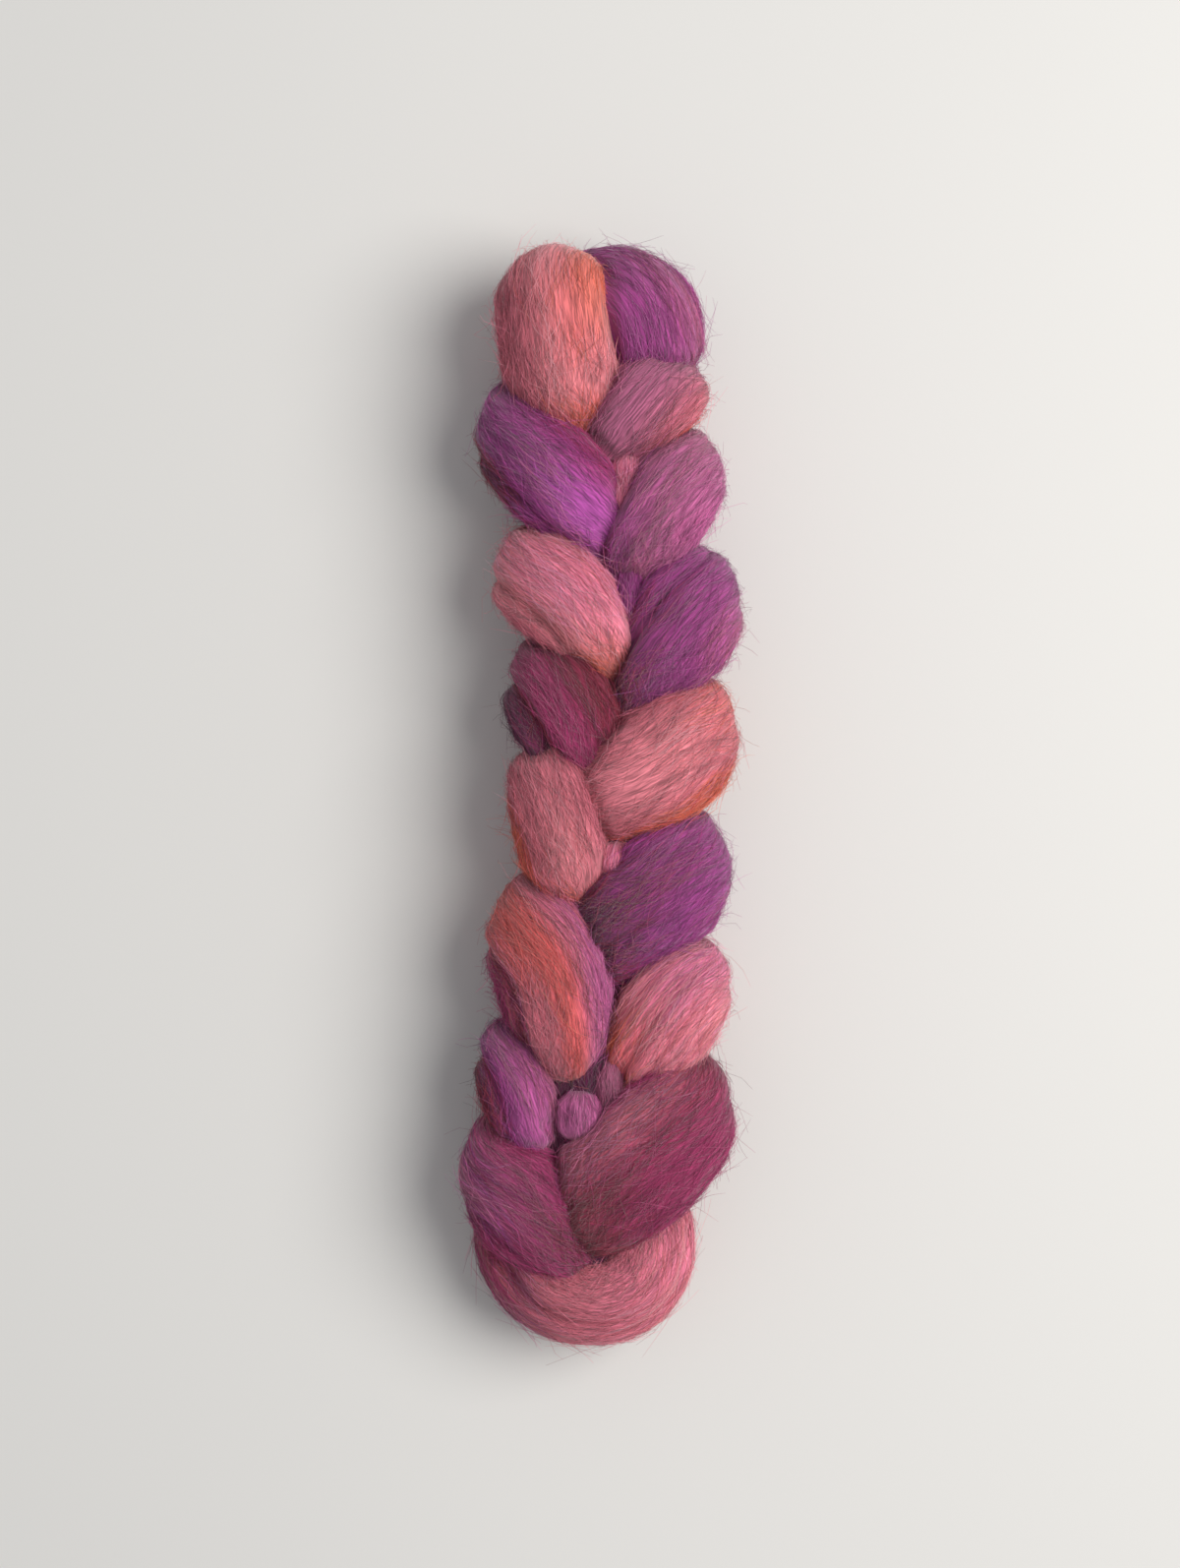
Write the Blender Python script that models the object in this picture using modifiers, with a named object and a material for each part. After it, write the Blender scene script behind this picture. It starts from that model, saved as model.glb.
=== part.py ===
"""A hand-chained braid of wool roving, lying on its back.

Blender 4.5, metres, +Z up. The braid lies along Y with its first loop towards +Y and its
pointed faces up. The origin is on the surface under the middle of the braid.
The whole braid is one length of soft combed wool, so it is one closed solid: every loop
of the chain is a thick strand that comes up round an outer edge and runs down to a
rounded tip in the middle, on top of the next two.
"""
import math
from collections import namedtuple

import bmesh
import bpy
from mathutils import Vector

MM = 0.001

# Overall sizes, in millimetres like every length below.
EDGE_HEIGHT = 22.0        # height of a strand's centre where it turns round an outer edge
BACK_HEIGHT = 9.5         # height of a strand's centre on the underside
BACK_SHIFT = 9.0          # how far towards +Y a strand has moved once it is underneath
BACK_REACH = 14.0         # how far past the middle line a strand's hidden end goes
END_OVERLAP = 22.0        # how far the strands that turn over the upper end go back under it
SECTIONS = 28             # cross-sections along a strand
FINE_STEPS = 200          # steps in which a route is measured
SOFTENING = 3             # passes that even out its bends
SIDES = 16                # corners of one cross-section
TIP_SHARE = 0.30          # share of a strand's length over which its tip rounds off
ROOT_SHARE = 0.08         # the same at its hidden end
BLUNTNESS = 2.4           # 2 is an elliptical tip, more is a blunter one
TURN_BULGE = 2.5          # how far a strand bulges past the thickness it has at its turn
VOXEL = 1.2               # grain of the union of all the strands
TRIANGLE_SHARE = 0.055    # share of the union's triangles that is kept
CUTTER_WIDE = 200.0       # block that cuts the underside flat
CUTTER_LONG = 400.0
CUTTER_DEEP = 60.0

# One row for each loop whose strand comes up round an outer edge. out is the plan angle in
# degrees, from +X, in which it bulges where it turns; edge is that turning point on the
# outline; shoulder and mid are on its centre line, and tip is the end of its rounded tip.
# crown is the height of the centre at mid, and sink is how far the tip drops below that.
Loop = namedtuple(
    "Loop",
    "name out edge_x edge_y shoulder_x shoulder_y mid_x mid_y tip_x tip_y wide thick crown sink",
)
LOOPS = (
    Loop("left_1", 100, -11, 148, -12, 136, -11, 122, -6, 93, 32, 27, 34, 7),
    Loop("left_2", 180, -33, 102, -20, 97, -10, 84, 8, 65, 31, 27, 32, 8),
    Loop("left_3", 180, -28, 63, -16, 60, -7, 50, 7, 29, 29, 27, 33, 8),
    Loop("left_4", 180, -24, 34, -12, 31, -8, 21, -1, 1, 30, 27, 32, 8),
    Loop("left_5", 180, -23, 8, -12, 5, -10, -8, -6, -34, 27, 26, 33, 8),
    Loop("left_6", 180, -30, -34, -17, -37, -12, -49, -9, -79, 32, 28, 33, 8),
    Loop("left_7", 180, -33, -69, -23, -72, -21, -81, -17, -101, 21, 22, 32, 6),
    Loop("left_8", 190, -39, -102, -24, -104, -18, -113, -1, -130, 32, 27, 29, 7),
    Loop("right_2", 0, 28, 113, 15, 111, 12, 105, 0, 87, 29, 27, 31, 8),
    Loop("right_3", 0, 33, 89, 20, 86, 16, 77, 4, 54, 29, 27, 32, 8),
    Loop("right_4", 0, 38, 55, 25, 53, 20, 44, 4, 18, 31, 28, 32, 8),
    Loop("right_5", 0, 38, 20, 22, 17, 13, 6, -11, -6, 34, 29, 33, 9),
    Loop("right_6", 0, 36, -17, 21, -19, 13, -29, -12, -47, 35, 28, 31, 8),
    Loop("right_7", 0, 36, -50, 22, -52, 17, -61, 5, -84, 29, 26, 32, 8),
    Loop("right_8", 0, 35, -80, 21, -86, 9, -100, -13, -121, 36, 29, 33, 8),
)

# The strands at the two ends: one comes from under left_1 round the upper right corner, and
# the other goes round the lower end as a horseshoe. lean is the angle between straight up
# and the way the strand faces, and out is the plan angle it leans towards.
Bend = namedtuple("Bend", "strand x y height out lean")
BENDS = (
    Bend("right_1", -6, 134, 15, 90, 80),
    Bend("right_1", 4, 136, 23, 80, 55),
    Bend("right_1", 11, 131, 29, 50, 35),
    Bend("right_1", 14, 124, 29, 10, 30),
    Bend("right_1", 14, 110, 20, 0, 40),
    Bend("end_wrap", -20, -106, 18, 180, 80),
    Bend("end_wrap", -20, -122, 20, 195, 62),
    Bend("end_wrap", -12, -133, 22, 235, 50),
    Bend("end_wrap", 1, -136, 23, 270, 48),
    Bend("end_wrap", 11, -130, 23, 315, 50),
    Bend("end_wrap", 12, -116, 20, 350, 60),
    Bend("end_wrap", 8, -103, 17, 0, 80),
)
END_STRANDS = (("right_1", 29.0, 27.0), ("end_wrap", 28.0, 27.0))

# The wool that fills the middle of the chain, seen between the loops.
Filling = namedtuple("Filling", "name x y height wide long thick")
FILLINGS = (
    Filling("core_top", 0, 92, 22, 36, 100, 26),
    Filling("core_middle", 3, 10, 22, 36, 130, 26),
    Filling("core_bottom", -2, -88, 22, 38, 104, 26),
    Filling("gap_below_left_2", 8, 83, 33, 13, 18, 14),
    Filling("gap_below_left_5", 5, -20, 33, 13, 16, 14),
    Filling("gap_below_left_3", 8, 52, 32, 10, 22, 14),
    Filling("lump_below_left_6", -5, -86, 33, 14, 14, 16),
    Filling("wisp_below_right_7", 3, -80, 31, 9, 22, 14),
)


def clear_scene():
    for old in list(bpy.data.objects):
        bpy.data.objects.remove(old, do_unlink=True)


def new_collection(name):
    collection = bpy.data.collections.new(name)
    bpy.context.scene.collection.children.link(collection)
    return collection


def wool_material():
    material = bpy.data.materials.new("dyed_wool")
    material.use_nodes = True
    shader = material.node_tree.nodes["Principled BSDF"]
    shader.inputs["Base Color"].default_value = (0.42, 0.13, 0.22, 1.0)
    shader.inputs["Roughness"].default_value = 0.95
    shader.inputs["Metallic"].default_value = 0.0
    return material


def facing(out_degrees, lean_degrees):
    """Unit vector that leans from straight up towards a plan direction."""
    out = math.radians(out_degrees)
    lean = math.radians(lean_degrees)
    return Vector((math.cos(out) * math.sin(lean), math.sin(out) * math.sin(lean), math.cos(lean)))


def between(values, place):
    """Catmull-Rom value of a list of vectors at place 0 to 1 along it."""
    spans = len(values) - 1
    span = min(int(place * spans), spans - 1)
    step = place * spans - span
    start, end = values[span], values[span + 1]
    before = values[span - 1] if span > 0 else start * 2 - end
    after = values[span + 2] if span + 2 <= spans else end * 2 - start
    return 0.5 * (
        2 * start
        + (end - before) * step
        + (2 * before - 5 * start + 4 * end - after) * step**2
        + (3 * start - before - 3 * end + after) * step**3
    )


def even_steps(route, facings):
    """Centre points an equal distance apart along a route, with their facings, both softened."""
    places = [index / FINE_STEPS for index in range(FINE_STEPS + 1)]
    fine = [between(route, place) for place in places]
    reached = [0.0]
    for first, second in zip(fine, fine[1:]):
        reached.append(reached[-1] + (second - first).length)
    centres = []
    faces = []
    index = 0
    for section in range(SECTIONS + 1):
        wanted = reached[-1] * section / SECTIONS
        while index < FINE_STEPS - 1 and reached[index + 1] < wanted:
            index += 1
        centres.append(fine[index].copy())
        faces.append(between(facings, places[index]))
    for _ in range(SOFTENING):
        centres = soften(centres)
        faces = soften(faces)
    return centres, faces


def soften(values):
    middle = [(a + b * 2 + c) / 4 for a, b, c in zip(values, values[1:], values[2:])]
    return [values[0]] + middle + [values[-1]]


def fullness(place):
    """How full a strand is, 0 to 1, from its hidden end to its rounded tip."""
    if place < ROOT_SHARE:
        into = 1 - place / ROOT_SHARE
    elif place > 1 - TIP_SHARE:
        into = (place - 1 + TIP_SHARE) / TIP_SHARE
    else:
        into = 0.0
    return math.sqrt(max(0.0, 1 - into**BLUNTNESS))


def loop_route(row):
    """Centre points and facings of one loop, from underneath to its tip."""
    outward = Vector((math.cos(math.radians(row.out)), math.sin(math.radians(row.out)), 0))
    edge = Vector((row.edge_x, row.edge_y, EDGE_HEIGHT)) - outward * (row.thick / 2 + TURN_BULGE)
    across = abs(outward.x)
    back_x = across * -BACK_REACH * outward.x + (1 - across) * edge.x
    back_y = edge.y + across * BACK_SHIFT - (1 - across) * END_OVERLAP * outward.y
    back = Vector((back_x, back_y, BACK_HEIGHT))
    shoulder = Vector((row.shoulder_x, row.shoulder_y, (EDGE_HEIGHT + 2 * row.crown) / 3))
    mid = Vector((row.mid_x, row.mid_y, row.crown))
    tip = Vector((row.tip_x, row.tip_y, row.crown - row.sink))
    route = [back, edge, shoulder, mid, tip]
    facings = [facing(row.out, lean) for lean in (180, 90, 38, 12, 0)]
    return route, facings


def bend_route(strand):
    rows = [row for row in BENDS if row.strand == strand]
    route = [Vector((row.x, row.y, row.height)) for row in rows]
    facings = [facing(row.out, row.lean) for row in rows]
    return route, facings


def loft_strand(mesh, route, facings, wide, thick):
    """Add one soft strand: oval sections across its route, closed at both ends."""
    centres, faces = even_steps(route, facings)
    rings = []
    for index in range(1, SECTIONS):
        along = (centres[index + 1] - centres[index - 1]).normalized()
        face = (faces[index] - along * faces[index].dot(along)).normalized()
        across = along.cross(face)
        full = fullness(index / SECTIONS)
        ring = []
        for side in range(SIDES):
            angle = 2 * math.pi * side / SIDES
            offset = across * math.cos(angle) * wide + face * math.sin(angle) * thick
            ring.append(mesh.verts.new((centres[index] + offset * full / 2) * MM))
        rings.append(ring)
    for first, second in zip(rings, rings[1:]):
        for side in range(SIDES):
            turn = (side + 1) % SIDES
            mesh.faces.new((first[side], first[turn], second[turn], second[side]))
    for ring, end in ((rings[0], centres[0]), (rings[-1], centres[-1])):
        point = mesh.verts.new(end * MM)
        for side in range(SIDES):
            mesh.faces.new((ring[side], ring[(side + 1) % SIDES], point))


def add_filling(mesh, row):
    made = bmesh.ops.create_icosphere(mesh, subdivisions=3, radius=MM / 2)
    bmesh.ops.scale(mesh, verts=made["verts"], vec=(row.wide, row.long, row.thick))
    bmesh.ops.translate(mesh, verts=made["verts"], vec=Vector((row.x, row.y, row.height)) * MM)


def add_modifiers(braid, floor):
    union = braid.modifiers.new("one_body", "REMESH")
    union.mode = "VOXEL"
    union.voxel_size = VOXEL * MM
    union.use_smooth_shade = True
    fewer = braid.modifiers.new("fewer_faces", "DECIMATE")
    fewer.ratio = TRIANGLE_SHARE
    flat = braid.modifiers.new("flat_underside", "BOOLEAN")
    flat.operation = "DIFFERENCE"
    flat.solver = "EXACT"
    flat.object = floor


def floor_cutter(collection):
    bpy.ops.mesh.primitive_cube_add(size=1)
    cutter = bpy.context.active_object
    cutter.name = "floor_cutter"
    cutter.scale = Vector((CUTTER_WIDE, CUTTER_LONG, CUTTER_DEEP)) * MM
    cutter.location = (0, 0, -CUTTER_DEEP * MM / 2)
    cutter.hide_render = True
    cutter.display_type = "WIRE"
    for holder in list(cutter.users_collection):
        holder.objects.unlink(cutter)
    collection.objects.link(cutter)
    return cutter


def build_braid(collection, cutters):
    mesh = bmesh.new()
    for row in LOOPS:
        route, facings = loop_route(row)
        loft_strand(mesh, route, facings, row.wide, row.thick)
    for strand, wide, thick in END_STRANDS:
        route, facings = bend_route(strand)
        loft_strand(mesh, route, facings, wide, thick)
    for row in FILLINGS:
        add_filling(mesh, row)
    bmesh.ops.recalc_face_normals(mesh, faces=mesh.faces)
    data = bpy.data.meshes.new("roving_braid")
    mesh.to_mesh(data)
    mesh.free()
    braid = bpy.data.objects.new("roving_braid", data)
    braid.data.materials.append(wool_material())
    collection.objects.link(braid)
    add_modifiers(braid, floor_cutter(cutters))
    return braid


clear_scene()
build_braid(new_collection("braid of wool roving"), new_collection("cutters"))
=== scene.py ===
"""Looks for a hand-chained braid of dyed wool roving, seen from straight above.

Every loop is a thick combed strand with soft grooves, under a coat of fine crimped fibres
that run along it, with stray hairs at its edges. Lengths in the tables are millimetres.
"""

import math
from collections import namedtuple

import bpy
import numpy as np
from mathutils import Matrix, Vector
from mathutils.bvhtree import BVHTree


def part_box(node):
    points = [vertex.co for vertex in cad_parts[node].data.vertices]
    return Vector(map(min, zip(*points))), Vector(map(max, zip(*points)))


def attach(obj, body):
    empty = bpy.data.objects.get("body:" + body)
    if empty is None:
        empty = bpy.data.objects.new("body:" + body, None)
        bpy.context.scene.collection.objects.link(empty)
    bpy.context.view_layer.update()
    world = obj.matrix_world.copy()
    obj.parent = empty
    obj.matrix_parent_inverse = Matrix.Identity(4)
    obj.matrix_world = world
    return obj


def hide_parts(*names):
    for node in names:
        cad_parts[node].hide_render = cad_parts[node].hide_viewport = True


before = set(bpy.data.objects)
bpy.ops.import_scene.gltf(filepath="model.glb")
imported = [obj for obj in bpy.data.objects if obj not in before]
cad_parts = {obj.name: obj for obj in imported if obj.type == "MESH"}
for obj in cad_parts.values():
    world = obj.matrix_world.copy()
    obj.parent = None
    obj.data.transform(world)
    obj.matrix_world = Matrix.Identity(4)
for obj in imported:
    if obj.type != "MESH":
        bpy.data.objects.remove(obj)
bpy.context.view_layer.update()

MM = 0.001
CAD_NODE = "roving_braid"

# The strands of the CAD solid, row for row.
EDGE_HEIGHT = 22.0
BACK_HEIGHT = 9.5
BACK_SHIFT = 9.0
BACK_REACH = 14.0
END_OVERLAP = 22.0
TURN_BULGE = 2.5
TIP_SHARE = 0.30
ROOT_SHARE = 0.08
BLUNTNESS = 2.4
Loop = namedtuple(
    "Loop",
    "name out edge_x edge_y shoulder_x shoulder_y mid_x mid_y tip_x tip_y wide thick crown sink",
)
LOOPS = (
    Loop("left_1", 100, -11, 148, -12, 136, -11, 122, -6, 93, 32, 27, 34, 7),
    Loop("left_2", 180, -33, 102, -20, 97, -10, 84, 8, 65, 31, 27, 32, 8),
    Loop("left_3", 180, -28, 63, -16, 60, -7, 50, 7, 29, 29, 27, 33, 8),
    Loop("left_4", 180, -24, 34, -12, 31, -8, 21, -1, 1, 30, 27, 32, 8),
    Loop("left_5", 180, -23, 8, -12, 5, -10, -8, -6, -34, 27, 26, 33, 8),
    Loop("left_6", 180, -30, -34, -17, -37, -12, -49, -9, -79, 32, 28, 33, 8),
    Loop("left_7", 180, -33, -69, -23, -72, -21, -81, -17, -101, 21, 22, 32, 6),
    Loop("left_8", 190, -39, -102, -24, -104, -18, -113, -1, -130, 32, 27, 29, 7),
    Loop("right_2", 0, 28, 113, 15, 111, 12, 105, 0, 87, 29, 27, 31, 8),
    Loop("right_3", 0, 33, 89, 20, 86, 16, 77, 4, 54, 29, 27, 32, 8),
    Loop("right_4", 0, 38, 55, 25, 53, 20, 44, 4, 18, 31, 28, 32, 8),
    Loop("right_5", 0, 38, 20, 22, 17, 13, 6, -11, -6, 34, 29, 33, 9),
    Loop("right_6", 0, 36, -17, 21, -19, 13, -29, -12, -47, 35, 28, 31, 8),
    Loop("right_7", 0, 36, -50, 22, -52, 17, -61, 5, -84, 29, 26, 32, 8),
    Loop("right_8", 0, 35, -80, 21, -86, 9, -100, -13, -121, 36, 29, 33, 8),
)
Bend = namedtuple("Bend", "strand x y height out lean")
BENDS = (
    Bend("right_1", -6, 134, 15, 90, 80),
    Bend("right_1", 4, 136, 23, 80, 55),
    Bend("right_1", 11, 131, 29, 50, 35),
    Bend("right_1", 14, 124, 29, 10, 30),
    Bend("right_1", 14, 110, 20, 0, 40),
    Bend("end_wrap", -20, -106, 18, 180, 80),
    Bend("end_wrap", -20, -122, 20, 195, 62),
    Bend("end_wrap", -12, -133, 22, 235, 50),
    Bend("end_wrap", 1, -136, 23, 270, 48),
    Bend("end_wrap", 11, -130, 23, 315, 50),
    Bend("end_wrap", 12, -116, 20, 350, 60),
    Bend("end_wrap", 8, -103, 17, 0, 80),
)
END_STRANDS = (("right_1", 29.0, 27.0), ("end_wrap", 28.0, 27.0))
Filling = namedtuple("Filling", "name x y height wide long thick dye")
FILLINGS = (
    Filling("core_top", 0, 92, 22, 36, 100, 26, "plum"),
    Filling("core_middle", 3, 10, 22, 36, 130, 26, "plum"),
    Filling("core_bottom", -2, -88, 22, 38, 104, 26, "plum"),
    Filling("gap_below_left_2", 8, 83, 33, 13, 18, 14, "pink"),
    Filling("gap_below_left_5", 5, -20, 33, 13, 16, 14, "pink"),
    Filling("gap_below_left_3", 8, 52, 32, 10, 22, 14, "violet"),
    Filling("lump_below_left_6", -5, -86, 33, 14, 14, 16, "orchid"),
    Filling("wisp_below_right_7", 3, -80, 31, 9, 22, 14, "mauve"),
)

# Wool dyes as screen colours, 0 to 255.
DYES = {
    "coral": (214, 88, 84),
    "orange": (222, 106, 80),
    "salmon": (234, 136, 146),
    "rose": (204, 106, 124),
    "pink": (236, 128, 160),
    "mauve": (176, 94, 130),
    "orchid": (194, 98, 154),
    "violet": (160, 60, 134),
    "iris": (190, 84, 176),
    "plum": (98, 28, 70),
    "magenta": (160, 46, 100),
    "maroon": (136, 38, 62),
}
BASE_DYE = {
    "left_1": "salmon", "left_2": "violet", "left_3": "salmon", "left_4": "magenta",
    "left_5": "rose", "left_6": "rose", "left_7": "violet", "left_8": "magenta",
    "right_1": "violet", "right_2": "mauve", "right_3": "mauve", "right_4": "violet",
    "right_5": "rose", "right_6": "violet", "right_7": "pink", "right_8": "maroon",
    "end_wrap": "rose",
}
# Where another dye has run into a strand; the maroon on left_6's lower edge is partly dye and partly
# painted shade. place is 0 at its hidden end and 1 at its tip;
# across is 1 on the side that is lower on a left loop and inner on a right one, and -1 on
# the other; run and spread are how far the dye reaches along and across.
Patch = namedtuple("Patch", "strand dye place across run spread strength")
PATCHES = (
    Patch("left_1", "rose", 0.62, 0.9, 0.30, 0.5, 3.0),
    Patch("left_1", "orange", 0.46, -0.7, 0.11, 0.30, 4.0),
    Patch("left_1", "coral", 0.55, -0.25, 0.12, 0.35, 1.2),
    Patch("left_1", "coral", 1.00, 0.1, 0.14, 0.9, 5.0),
    Patch("left_2", "iris", 0.80, 0.1, 0.16, 0.5, 4.0),
    Patch("left_2", "magenta", 0.72, -0.9, 0.16, 0.4, 3.0),
    Patch("left_2", "plum", 0.55, 0.7, 0.20, 0.4, 1.5),
    Patch("left_3", "rose", 0.65, 0.9, 0.40, 0.3, 4.0),
    Patch("left_3", "pink", 0.62, -0.3, 0.16, 0.5, 4.0),
    Patch("left_3", "orange", 0.86, 0.0, 0.12, 0.4, 2.5),
    Patch("left_3", "pink", 0.85, -0.95, 0.20, 0.3, 3.0),
    Patch("left_4", "plum", 0.65, 0.9, 0.50, 0.35, 5.0),
    Patch("left_4", "maroon", 0.75, -0.9, 0.40, 0.35, 4.0),
    Patch("left_5", "orange", 0.80, 0.9, 0.22, 0.3, 3.0),
    Patch("left_5", "salmon", 0.72, -0.2, 0.16, 0.5, 1.5),
    Patch("left_5", "coral", 1.00, 0.2, 0.12, 0.8, 5.0),
    # Partly its dye and partly painted shade: this maroon darkens the lower edge of left_6, where shade
    # falls.
    Patch("left_6", "maroon", 0.65, 0.95, 0.40, 0.35, 3.0),
    Patch("left_6", "coral", 0.72, -0.35, 0.35, 0.20, 4.5),
    Patch("left_6", "coral", 0.52, -0.1, 0.10, 0.5, 3.0),
    Patch("left_6", "orchid", 0.80, -0.95, 0.25, 0.30, 6.0),
    Patch("left_7", "orchid", 0.80, -0.7, 0.25, 0.5, 1.2),
    Patch("left_7", "plum", 0.60, 0.8, 0.25, 0.5, 2.0),
    Patch("left_8", "orchid", 0.55, 0.1, 0.14, 0.6, 1.2),
    Patch("left_8", "plum", 0.75, -0.2, 0.20, 0.4, 1.0),
    Patch("right_1", "orchid", 0.60, -0.3, 0.25, 0.5, 1.0),
    Patch("right_2", "coral", 0.58, -0.95, 0.22, 0.35, 3.0),
    Patch("right_2", "rose", 0.60, -0.5, 0.20, 0.4, 1.5),
    Patch("right_3", "orchid", 0.58, -0.5, 0.22, 0.6, 4.0),
    Patch("right_3", "violet", 0.85, 0.6, 0.20, 0.5, 3.0),
    Patch("right_4", "plum", 0.85, 0.6, 0.20, 0.5, 2.0),
    Patch("right_4", "orchid", 0.50, -0.7, 0.20, 0.5, 1.0),
    Patch("right_5", "orange", 0.66, -0.95, 0.18, 0.30, 4.0),
    Patch("right_5", "coral", 0.42, 0.3, 0.10, 0.9, 3.0),
    Patch("right_5", "salmon", 0.62, 0.1, 0.16, 0.6, 2.0),
    Patch("right_6", "plum", 0.85, 0.2, 0.22, 0.8, 3.0),
    Patch("right_6", "iris", 0.55, -0.6, 0.18, 0.5, 1.0),
    Patch("right_7", "orchid", 0.56, 0.5, 0.10, 0.4, 1.0),
    Patch("right_7", "salmon", 0.60, -0.8, 0.25, 0.5, 4.0),
    Patch("right_7", "coral", 0.92, 0.7, 0.18, 0.6, 4.0),
    Patch("right_8", "magenta", 0.52, -0.6, 0.20, 0.7, 5.0),
    Patch("right_8", "rose", 0.66, 0.8, 0.20, 0.3, 2.0),
    Patch("end_wrap", "maroon", 0.14, 0.2, 0.16, 1.0, 3.0),
    Patch("end_wrap", "pink", 0.72, 0.0, 0.16, 0.9, 2.0),
)

# Grooves between the bundles that a strand has split into.
Groove = namedtuple("Groove", "strand across depth spread start end")
GROOVES = (
    Groove("left_2", 0.72, 2.2, 0.14, 0.35, 0.85),
    Groove("left_3", 0.50, 2.4, 0.13, 0.35, 0.90),
    Groove("left_4", 0.52, 3.2, 0.15, 0.35, 0.92),
    Groove("left_4", -0.48, 1.8, 0.16, 0.50, 0.98),
    Groove("left_6", 0.62, 3.0, 0.13, 0.35, 0.90),
    Groove("left_6", -0.62, 1.2, 0.12, 0.55, 0.98),
    Groove("left_7", 0.30, 1.8, 0.20, 0.40, 0.80),
    Groove("left_8", 0.62, 1.6, 0.14, 0.40, 0.95),
    Groove("right_3", 0.35, 1.2, 0.14, 0.50, 0.95),
    Groove("right_4", 0.70, 1.8, 0.12, 0.45, 0.95),
    Groove("right_6", -0.20, 3.0, 0.14, 0.66, 1.00),
    Groove("right_7", 0.42, 3.2, 0.14, 0.55, 0.97),
    Groove("right_7", -0.10, 1.4, 0.13, 0.50, 0.90),
    Groove("right_8", -0.25, 2.0, 0.16, 0.40, 0.80),
    Groove("right_8", 0.35, 1.2, 0.14, 0.45, 0.90),
    Groove("end_wrap", -0.25, 2.4, 0.16, 0.20, 0.62),
    Groove("end_wrap", 0.15, 2.2, 0.16, 0.55, 0.90),
)

# Mesh and fibre sizes.
STEPS = 72                # rings along a strand
SIDES = 48                # corners of a ring
FINE_STEPS = 400
SOFTENING = 20            # passes that even out a route's bends
RIDGES = ((5, 0.30), (9, 0.20), (16, 0.09))   # lengthwise ridges: count round, height
LUMP = 0.7                # height of slow unevenness
LUMP_WAVES = 9            # how often it changes along a strand, in radians
GROOVE_FADE = 0.03        # how softly a groove starts and ends, as a share of the strand
LOWEST = 0.3              # the least height of a strand above the floor
CREASE_DEPTH = 1.3        # how far strands draw back where they meet
CREASE_REACH = 2.0
COAT_PER_MM = 16.0        # fibres of the coat for each millimetre of a strand's route
USUAL_ROUND = 58          # width and thickness, added up, of a strand with that many
TRIES = 2.2               # places tried for each fibre that is wanted
COAT_START = 0.12         # where fibres' middles lie along a strand
COAT_END = 0.98
COAT_PAST_EDGE = 0.45     # how far they reach below its widest points, in radians
COAT_LOWEST = 1.0         # the least height of a fibre's middle above the floor
FIBRE_START = 0.03        # where fibres' ends stop along a strand
FIBRE_END = 0.985
FIBRE_LOWEST = 0.4
FIBRE_LEAN = 0.16         # spread of their angle round the strand, over their length
WAVE_MIN = 1.0            # turn of a fibre's crimp from one point to the next, in radians
WAVE_MAX = 1.9
LIFT_BEND = 2.5           # how late along a fibre its free end lifts off
FIBRE_TAPER = 0.12        # how much of a half circle is left off at the fibre's ends
SHADES = (0.46, 0.84, 1.18, 1.70)
SHADE_SHARES = (0.16, 0.34, 0.32, 0.18)
DYE_JITTER = 0.018        # how unevenly single fibres took the dye
Coat = namedtuple("Coat", "name share points length_min length_max radius rise lift crimp curl")
COATS = (
    Coat("coat", 1.0, 5, 6.0, 13.0, 0.056, 0.08, 1.5, 0.34, 0.11),
    Coat("stray", 0.25, 6, 5.0, 12.0, 0.046, 0.20, 4.2, 0.45, 0.24),
)
SEED = 20


def linear(colour):
    """Screen colour, 0 to 255, as linear light."""
    part = np.array(colour, float) / 255
    return np.where(part <= 0.04045, part / 12.92, ((part + 0.055) / 1.055) ** 2.4)


def facing(out_degrees, lean_degrees):
    out = math.radians(out_degrees)
    lean = math.radians(lean_degrees)
    return (math.cos(out) * math.sin(lean), math.sin(out) * math.sin(lean), math.cos(lean))


def loop_route(row):
    outward = Vector((math.cos(math.radians(row.out)), math.sin(math.radians(row.out)), 0))
    edge = Vector((row.edge_x, row.edge_y, EDGE_HEIGHT)) - outward * (row.thick / 2 + TURN_BULGE)
    across = abs(outward.x)
    back_x = across * -BACK_REACH * outward.x + (1 - across) * edge.x
    back_y = edge.y + across * BACK_SHIFT - (1 - across) * END_OVERLAP * outward.y
    route = [
        (back_x, back_y, BACK_HEIGHT),
        tuple(edge),
        (row.shoulder_x, row.shoulder_y, (EDGE_HEIGHT + 2 * row.crown) / 3),
        (row.mid_x, row.mid_y, row.crown),
        (row.tip_x, row.tip_y, row.crown - row.sink),
    ]
    facings = [facing(row.out, lean) for lean in (180, 90, 38, 12, 0)]
    return np.array(route), np.array(facings)


def bend_route(strand):
    rows = [row for row in BENDS if row.strand == strand]
    route = [(row.x, row.y, row.height) for row in rows]
    return np.array(route, float), np.array([facing(row.out, row.lean) for row in rows])


def filling_route(row):
    reach = row.long / 2
    route = [(row.x, row.y + shift, row.height) for shift in (reach, 0, -reach)]
    return np.array(route, float), np.array([facing(0, 0)] * len(route))


def between(values, places):
    """Catmull-Rom values at places 0 to 1 along a list of points."""
    spans = len(values) - 1
    span = np.minimum((places * spans).astype(int), spans - 1)
    step = (places * spans - span)[:, None]
    more = np.vstack([2 * values[0] - values[1], values, 2 * values[-1] - values[-2]])
    before, start, end, after = (more[span + shift] for shift in range(4))
    return 0.5 * (
        2 * start
        + (end - before) * step
        + (2 * before - 5 * start + 4 * end - after) * step**2
        + (3 * start - before - 3 * end + after) * step**3
    )


def soften(values, passes):
    for _ in range(passes):
        values[1:-1] = (values[:-2] + 2 * values[1:-1] + values[2:]) / 4
    return values


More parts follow.
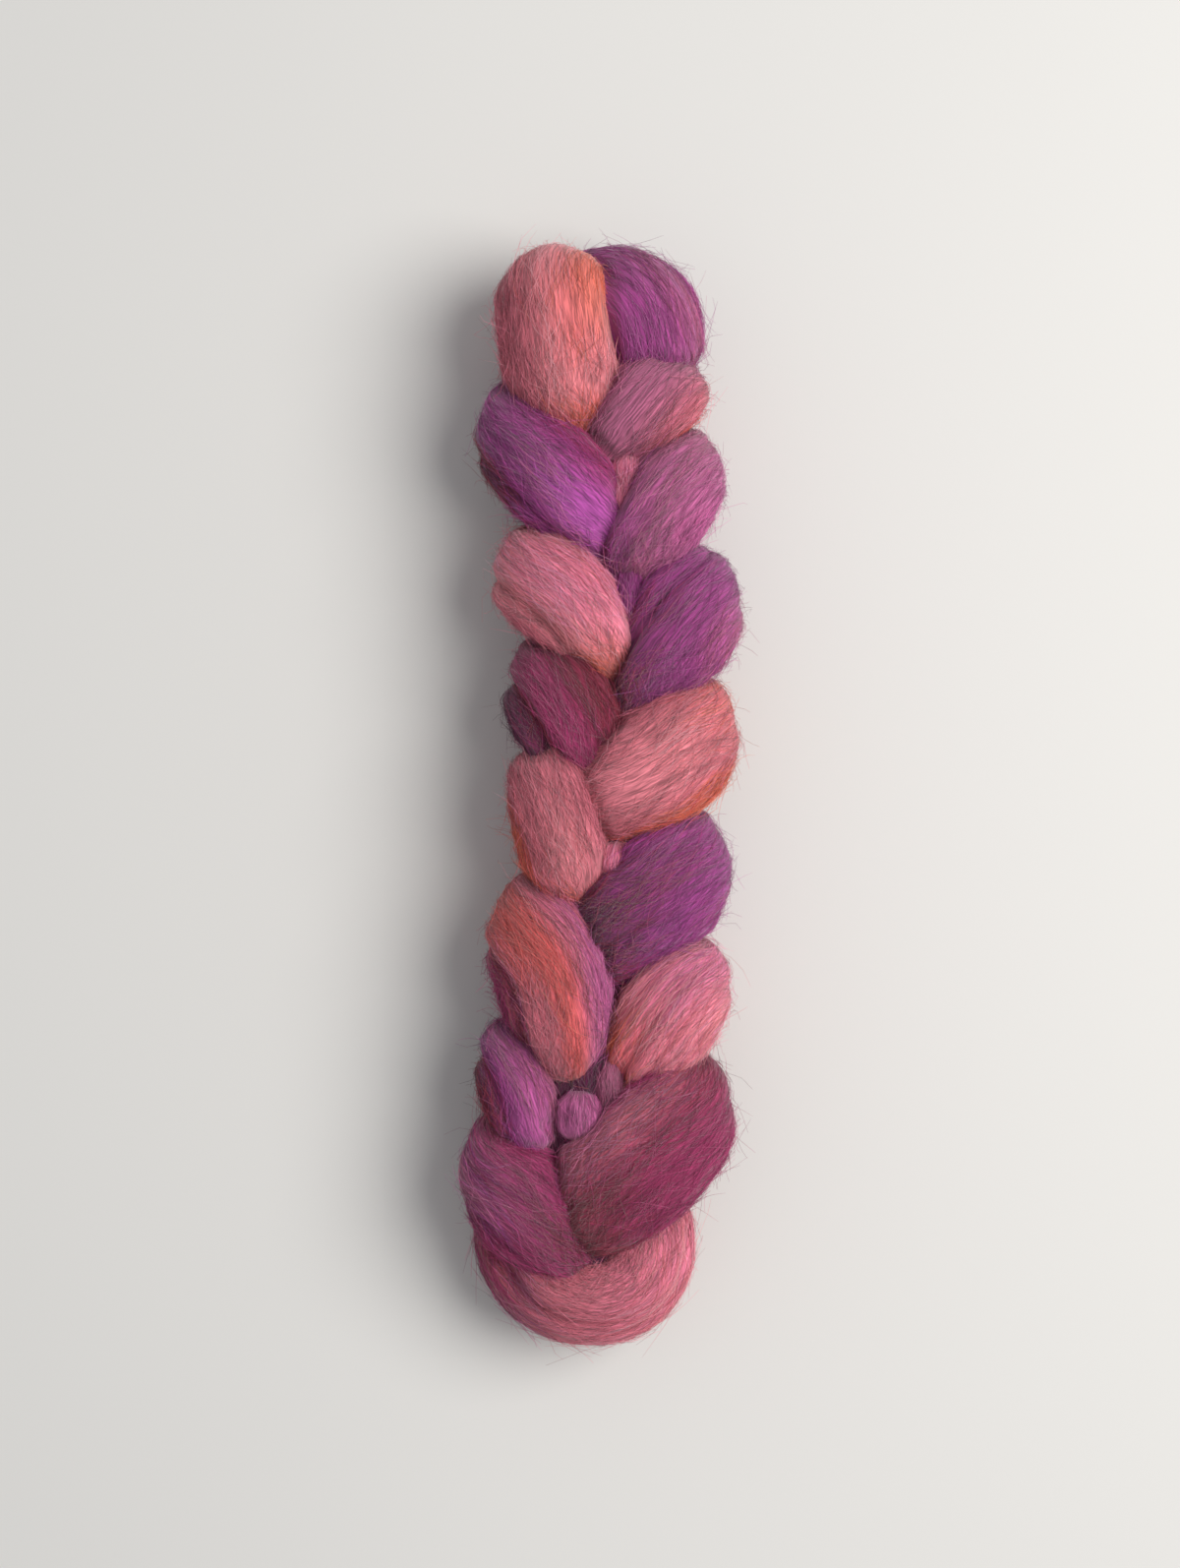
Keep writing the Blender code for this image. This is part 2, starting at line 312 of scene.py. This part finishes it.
def unit(vectors):
    return vectors / np.maximum(np.linalg.norm(vectors, axis=-1, keepdims=True), 1e-9)


def fullness(place, root, tip):
    into = np.where(place < root, 1 - place / root, np.maximum(0, (place - 1 + tip) / tip))
    return np.sqrt(np.maximum(0, 1 - into**BLUNTNESS))


def relief(name, place, angle, chance):
    """Height of a strand's surface over its plain oval, for grids of place and angle."""
    height = np.zeros(np.broadcast(place, angle).shape)
    for count, size in RIDGES:
        phase = chance.uniform(0, 2 * math.pi)
        drift = chance.uniform(-3, 3)
        height = height + size * np.sin(count * angle + phase + drift * place)
    phase = chance.uniform(0, 2 * math.pi, 2)
    height = height + LUMP * np.sin(2 * angle + phase[0]) * np.sin(LUMP_WAVES * place + phase[1])
    for row in GROOVES:
        if row.strand == name:
            apart = (angle - math.acos(row.across) + math.pi) % (2 * math.pi) - math.pi
            inside = 1 / (1 + np.exp(-(place - row.start) / GROOVE_FADE))
            inside = inside / (1 + np.exp((place - row.end) / GROOVE_FADE))
            height = height - row.depth * inside * np.exp(-((apart / row.spread) ** 2))
    return height


class Strand:
    """One strand's surface, as a grid of points over its length and round its section."""

    def __init__(self, name, route, facings, wide, thick, dye, root, tip, chance):
        self.name = name
        self.dye = dye
        fine_places = np.linspace(0, 1, FINE_STEPS + 1)
        fine = between(route, fine_places)
        reached = np.concatenate([[0], np.cumsum(np.linalg.norm(np.diff(fine, axis=0), axis=1))])
        self.length = reached[-1]
        places = np.interp(np.linspace(0, self.length, STEPS + 1), reached, fine_places)
        centres = soften(between(route, places), SOFTENING)
        faces = soften(between(facings, places), SOFTENING)
        along = unit(centres[2:] - centres[:-2])
        inner = faces[1:-1]
        inner = unit(inner - along * np.sum(along * inner, axis=1, keepdims=True))
        across = np.cross(along, inner)
        place = (np.arange(1, STEPS) / STEPS)[:, None]
        angle = (np.arange(SIDES) * 2 * math.pi / SIDES)[None, :]
        full = fullness(place, root, tip)[:, :, None] / 2
        oval = across[:, None] * np.cos(angle)[..., None] * wide
        oval = oval + inner[:, None] * np.sin(angle)[..., None] * thick
        height = relief(name, place, angle, chance)[..., None]
        self.points = centres[1:-1, None] + (oval + 2 * unit(oval) * height) * full
        self.points[..., 2] = np.maximum(self.points[..., 2], LOWEST)
        self.ends = (centres[0], centres[-1])
        self.round = wide + thick
        self.find_normals()

    def find_normals(self):
        down = np.gradient(self.points, axis=0)
        across = np.roll(self.points, -1, axis=1) - np.roll(self.points, 1, axis=1)
        self.normals = unit(np.cross(down, across))

    def draw_back(self, distance):
        """Moves the surface inward by a distance for each of its points."""
        self.points = self.points - self.normals * distance.reshape(self.points.shape[:2])[..., None]
        self.find_normals()

    def sample(self, grid, place, angle):
        """Values of a grid at places and angles, blended between its points."""
        row = np.clip(place * STEPS - 1, 0, STEPS - 2.001)
        column = (angle / (2 * math.pi) * SIDES) % SIDES
        i = row.astype(int)
        k = column.astype(int) % SIDES
        down = (row - i)[..., None]
        over = (column - column.astype(int))[..., None]
        near = grid[i, k] * (1 - over) + grid[i, (k + 1) % SIDES] * over
        far = grid[i + 1, k] * (1 - over) + grid[i + 1, (k + 1) % SIDES] * over
        return near * (1 - down) + far * down


def dye_at(strand, place, across):
    """Linear colour of the wool at places along and across a strand."""
    place, across = np.broadcast_arrays(place, across)
    total = np.ones(place.shape)
    colour = np.ones(place.shape + (3,)) * linear(DYES[strand.dye])
    for row in PATCHES:
        if row.strand == strand.name:
            reach = ((place - row.place) / row.run) ** 2 + ((across - row.across) / row.spread) ** 2
            share = row.strength * np.exp(-reach)
            total = total + share
            colour = colour + share[..., None] * linear(DYES[row.dye])
    return colour / total[..., None]


def new_object(name, points, faces):
    mesh = bpy.data.meshes.new(name)
    mesh.from_pydata(points.tolist(), [], faces)
    mesh.polygons.foreach_set("use_smooth", [True] * len(faces))
    mesh.update()
    made = bpy.data.objects.new(name, mesh)
    bpy.context.scene.collection.objects.link(made)
    return made


def surface_object(strand, material):
    """The strand's closed surface with its dyes and a map that follows its length."""
    rings = STEPS - 1
    points = np.vstack([strand.points.reshape(-1, 3), strand.ends[0], strand.ends[1]]) * MM
    root = rings * SIDES
    tip = root + 1
    faces = []
    spots = []
    for i in range(rings - 1):
        for k in range(SIDES):
            n = (k + 1) % SIDES
            faces.append((i * SIDES + k, (i + 1) * SIDES + k, (i + 1) * SIDES + n, i * SIDES + n))
            spots += [(i, k), (i + 1, k), (i + 1, k + 1), (i, k + 1)]
    last = (rings - 1) * SIDES
    for k in range(SIDES):
        n = (k + 1) % SIDES
        faces.append((k, n, root))
        spots += [(0, k), (0, k + 1), (-1, k)]
    for k in range(SIDES):
        n = (k + 1) % SIDES
        faces.append((last + n, last + k, tip))
        spots += [(rings - 1, k + 1), (rings - 1, k), (rings, k)]
    made = new_object("wool_" + strand.name, points, faces)
    size = np.array((strand.length / STEPS, strand.round * math.pi / 2 / SIDES)) * MM
    layer = made.data.uv_layers.new(name="strand")
    layer.uv.foreach_set("vector", (np.array(spots) * size).astype(np.float32).ravel())
    place = (np.arange(1, STEPS) / STEPS)[:, None]
    across = np.cos(np.arange(SIDES) * 2 * math.pi / SIDES)[None, :]
    colours = dye_at(strand, place, across).reshape(-1, 3)
    colours = np.vstack([colours, colours[:1], colours[-1:]])
    colours = np.hstack([colours, np.ones((len(colours), 1))])
    layer = made.data.color_attributes.new("dye", "FLOAT_COLOR", "POINT")
    layer.data.foreach_set("color", colours.astype(np.float32).ravel())
    made.data.materials.append(material)
    return made


def surroundings(strands):
    """Each strand's surface as a search tree, with the corners of a box a little larger."""
    quads = [
        (i * SIDES + k, (i + 1) * SIDES + k, (i + 1) * SIDES + (k + 1) % SIDES, i * SIDES + (k + 1) % SIDES)
        for i in range(STEPS - 2)
        for k in range(SIDES)
    ]
    around = {}
    for strand in strands:
        flat = strand.points.reshape(-1, 3)
        tree = BVHTree.FromPolygons(flat.tolist(), quads)
        margin = 2 * CREASE_REACH
        around[strand.name] = (tree, flat.min(axis=0) - margin, flat.max(axis=0) + margin)
    return around


def gap_to_others(points, own, around):
    """Distance from each point to the nearest other strand, negative inside one."""
    gap = np.full(len(points), 100.0)
    for name, (tree, low, high) in around.items():
        if name == own:
            continue
        near = np.all((points > low) & (points < high), axis=1)
        for index in np.nonzero(near)[0]:
            spot = Vector(points[index])
            place, normal, _, distance = tree.find_nearest(spot)
            if (spot - place).dot(normal) < 0:
                distance = -distance
            gap[index] = min(gap[index], distance)
    return gap


def press_apart(strands):
    """Loops draw back where they meet the wool beside them, so creases run between them."""
    visible = [strand for strand in strands if not strand.name.startswith("core")]
    around = surroundings(visible)
    for strand in visible:
        if strand.name in BASE_DYE:
            gap = np.maximum(gap_to_others(strand.points.reshape(-1, 3), strand.name, around), 0)
            strand.draw_back(CREASE_DEPTH * np.exp(-((gap / CREASE_REACH) ** 2)))


def fibre_points(strand, coat, place, angle, chance):
    """Points of crimped fibres that start from places on a strand and follow it."""
    count = len(place)
    steps = np.linspace(-0.5, 0.5, coat.points)[None, :]
    length = chance.uniform(coat.length_min, coat.length_max, (count, 1))
    places = np.clip(place[:, None] + steps * length / strand.length, FIBRE_START, FIBRE_END)
    lean = chance.normal(0, FIBRE_LEAN, (count, 1))
    wave = chance.uniform(WAVE_MIN, WAVE_MAX, (count, 1)) * np.arange(coat.points)
    wave = np.sin(wave + chance.uniform(0, 2 * math.pi, (count, 1)))
    angles = angle[:, None] + lean * steps * 2 + wave * coat.crimp * 4 / strand.round
    surface = strand.sample(strand.points, places, angles)
    normal = unit(strand.sample(strand.normals, places, angles))
    free_end = np.sign(chance.uniform(-1, 1, (count, 1)))
    free = np.clip(steps * free_end + 0.5, 0, 1) ** LIFT_BEND
    rise = coat.rise + chance.uniform(0, coat.rise, (count, 1))
    lift = chance.gamma(1.2, coat.lift / 2.4, (count, 1)) * free
    lift = np.minimum(lift, 1.6 * coat.lift)
    sideways = chance.normal(0, coat.curl, (count, 1)) * free * length
    sideways = sideways + coat.curl * 2 * wave * free
    along = unit(np.gradient(surface, axis=1))
    aside = np.cross(normal, along) * sideways[..., None]
    points = surface + normal * (rise + lift)[..., None] + aside
    points[..., 2] = np.maximum(points[..., 2], FIBRE_LOWEST)
    return points, normal


def fibre_object(name, points, normal, radius, choices, palette):
    """Closed three-sided fibres, each in one of the palette's materials."""
    count, length = points.shape[:2]
    along = unit(np.gradient(points, axis=1))
    side = unit(np.cross(along, normal))
    up = np.cross(side, along)
    taper = np.sqrt(np.sin(np.linspace(FIBRE_TAPER, 1 - FIBRE_TAPER, length) * math.pi)) * radius
    turns = np.arange(3) * 2 * math.pi / 3
    rings = up[:, :, None] * np.cos(turns)[:, None] + side[:, :, None] * np.sin(turns)[:, None]
    rings = points[:, :, None] + rings * taper[None, :, None, None]
    faces = []
    owners = []
    used = sorted(set(choices.tolist()))
    slots = {choice: index for index, choice in enumerate(used)}
    for fibre in range(count):
        first = fibre * length * 3
        faces.append((first, first + 1, first + 2))
        for step in range(length - 1):
            low = first + step * 3
            for k in range(3):
                n = (k + 1) % 3
                faces.append((low + k, low + 3 + k, low + 3 + n, low + n))
        last = first + (length - 1) * 3
        faces.append((last + 2, last + 1, last))
        owners += [slots[int(choices[fibre])]] * (3 * (length - 1) + 2)
    made = new_object(name, rings.reshape(-1, 3) * MM, faces)
    for choice in used:
        made.data.materials.append(palette[choice])
    made.data.polygons.foreach_set("material_index", owners)
    return made


def coat_object(strand, coat, around, palette, chance):
    wanted = int(COAT_PER_MM * coat.share * strand.length * strand.round / USUAL_ROUND)
    tries = int(wanted * TRIES)
    place = chance.uniform(COAT_START, COAT_END, tries)
    angle = chance.uniform(-COAT_PAST_EDGE, math.pi + COAT_PAST_EDGE, tries)
    middle = strand.sample(strand.points, place, angle)
    outside = gap_to_others(middle, strand.name, around) > 0
    kept = outside & (middle[:, 2] > COAT_LOWEST)
    place, angle = place[kept][:wanted], angle[kept][:wanted]
    if not len(place):
        return None
    points, normal = fibre_points(strand, coat, place, angle, chance)
    colour = dye_at(strand, place, np.cos(angle)) + chance.normal(0, DYE_JITTER, (len(place), 3))
    dyes = np.array([linear(dye) for dye in DYES.values()])
    nearest = np.linalg.norm(colour[:, None] - dyes[None], axis=2).argmin(axis=1)
    shade = chance.choice(len(SHADES), len(place), p=SHADE_SHARES)
    name = coat.name + "_" + strand.name
    return fibre_object(name, points, normal, coat.radius, nearest * len(SHADES) + shade, palette)


def set_inputs(node, values):
    for name, value in values.items():
        node.inputs[name].default_value = value


def new_material(name, values):
    material = bpy.data.materials.new(name)
    material.use_nodes = True
    set_inputs(material.node_tree.nodes["Principled BSDF"], values)
    return material


def strand_material():
    """Matted wool: its dye, streaked along the strand by darker and lighter fibres."""
    matt = {"Roughness": 0.95, "Sheen Weight": 0.35, "Sheen Roughness": 0.5}
    material = new_material("dyed_wool_mass", matt)
    tree = material.node_tree
    shader = tree.nodes["Principled BSDF"]
    dye = tree.nodes.new("ShaderNodeAttribute")
    dye.attribute_name = "dye"
    place = tree.nodes.new("ShaderNodeUVMap")
    place.uv_map = "strand"
    bend = tree.nodes.new("ShaderNodeTexNoise")
    set_inputs(bend, {"Scale": 420.0, "Detail": 1.0})
    tree.links.new(place.outputs["UV"], bend.inputs["Vector"])
    shift = tree.nodes.new("ShaderNodeVectorMath")
    shift.operation = "MULTIPLY_ADD"
    set_inputs(shift, {1: (0.0, 0.0010, 0.0)})
    tree.links.new(bend.outputs["Color"], shift.inputs[0])
    tree.links.new(place.outputs["UV"], shift.inputs[2])
    stretch = tree.nodes.new("ShaderNodeVectorMath")
    stretch.operation = "MULTIPLY"
    set_inputs(stretch, {1: (190.0, 2300.0, 1.0)})
    tree.links.new(shift.outputs[0], stretch.inputs[0])
    streak = tree.nodes.new("ShaderNodeTexNoise")
    set_inputs(streak, {"Scale": 1.0, "Detail": 3.0})
    tree.links.new(stretch.outputs[0], streak.inputs["Vector"])
    depth = tree.nodes.new("ShaderNodeMapRange")
    set_inputs(depth, {"From Min": 0.36, "From Max": 0.66, "To Min": 0.42, "To Max": 1.25})
    tree.links.new(streak.outputs["Fac"], depth.inputs["Value"])
    tint = tree.nodes.new("ShaderNodeVectorMath")
    tint.operation = "SCALE"
    tree.links.new(dye.outputs["Color"], tint.inputs[0])
    tree.links.new(depth.outputs["Result"], tint.inputs["Scale"])
    tree.links.new(tint.outputs[0], shader.inputs["Base Color"])
    bump = tree.nodes.new("ShaderNodeBump")
    set_inputs(bump, {"Strength": 0.6, "Distance": 0.0005})
    tree.links.new(streak.outputs["Fac"], bump.inputs["Height"])
    tree.links.new(bump.outputs["Normal"], shader.inputs["Normal"])
    return material


def fibre_palette():
    """One fibre material for each dye in each shade."""
    palette = []
    for dye, colour in DYES.items():
        for index, shade in enumerate(SHADES):
            tone = np.minimum(linear(colour) * shade, 0.9)
            silky = {"Roughness": 0.7, "Sheen Weight": 0.4, "Sheen Roughness": 0.4}
            silky["Base Color"] = (*tone, 1.0)
            palette.append(new_material(f"fibre_{dye}_{index}", silky))
    return palette


def all_strands():
    chance = np.random.default_rng(SEED)
    made = []
    for row in LOOPS:
        route, facings = loop_route(row)
        made.append(Strand(row.name, route, facings, row.wide, row.thick, BASE_DYE[row.name],
                           ROOT_SHARE, TIP_SHARE, chance))
    for name, wide, thick in END_STRANDS:
        route, facings = bend_route(name)
        made.append(Strand(name, route, facings, wide, thick, BASE_DYE[name],
                           ROOT_SHARE, TIP_SHARE, chance))
    for row in FILLINGS:
        route, facings = filling_route(row)
        made.append(Strand(row.name, route, facings, row.wide, row.thick, row.dye, 0.5, 0.5, chance))
    return made


def build_braid():
    chance = np.random.default_rng(SEED)
    mass = strand_material()
    palette = fibre_palette()
    strands = all_strands()
    press_apart(strands)
    around = surroundings(strands)
    pieces = []
    for strand in strands:
        surface = surface_object(strand, mass)
        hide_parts(CAD_NODE)
        pieces.append(surface)
    for strand in strands:
        for coat in COATS:
            pieces.append(coat_object(strand, coat, around, palette, chance))
    for piece in filter(None, pieces):
        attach(piece, "root")


def area_light(name, place, target, size, energy, colour):
    data = bpy.data.lights.new(name, "AREA")
    data.shape = "DISK"
    data.size = size
    data.energy = energy
    data.color = colour
    lamp = bpy.data.objects.new(name, data)
    lamp.location = place
    lamp.rotation_euler = (Vector(target) - Vector(place)).to_track_quat("-Z", "Y").to_euler()
    bpy.context.scene.collection.objects.link(lamp)


def set_stage():
    bpy.ops.mesh.primitive_plane_add(size=3.0)
    floor = bpy.context.active_object
    floor.name = "floor"
    pale = {"Base Color": (0.70, 0.69, 0.67, 1.0), "Roughness": 0.95}
    floor.data.materials.append(new_material("pale_floor", pale))
    area_light("window", (0.76, 0.14, 1.05), (0, 0, 0), 1.0, 17.0, (1.0, 0.98, 0.95))
    world = bpy.data.worlds.new("room")
    world.use_nodes = True
    sky = {"Color": (0.95, 0.97, 1.0, 1.0), "Strength": 0.42}
    set_inputs(world.node_tree.nodes["Background"], sky)
    bpy.context.scene.world = world


def set_camera():
    """Straight down, so that the frame is 427 mm high at half the braid's thickness."""
    low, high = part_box(CAD_NODE)
    data = bpy.data.cameras.new("camera")
    data.sensor_fit = "VERTICAL"
    data.sensor_height = 36.0
    distance = 0.80
    frame_height = 0.427
    aim_x, aim_y = -0.0027, 0.0032
    data.lens = data.sensor_height * distance / frame_height
    camera = bpy.data.objects.new("camera", data)
    camera.location = (aim_x, aim_y, (low.z + high.z) / 2 + distance)
    bpy.context.scene.collection.objects.link(camera)
    bpy.context.scene.camera = camera


build_braid()
set_stage()
set_camera()
bpy.context.scene.view_settings.view_transform = "Standard"
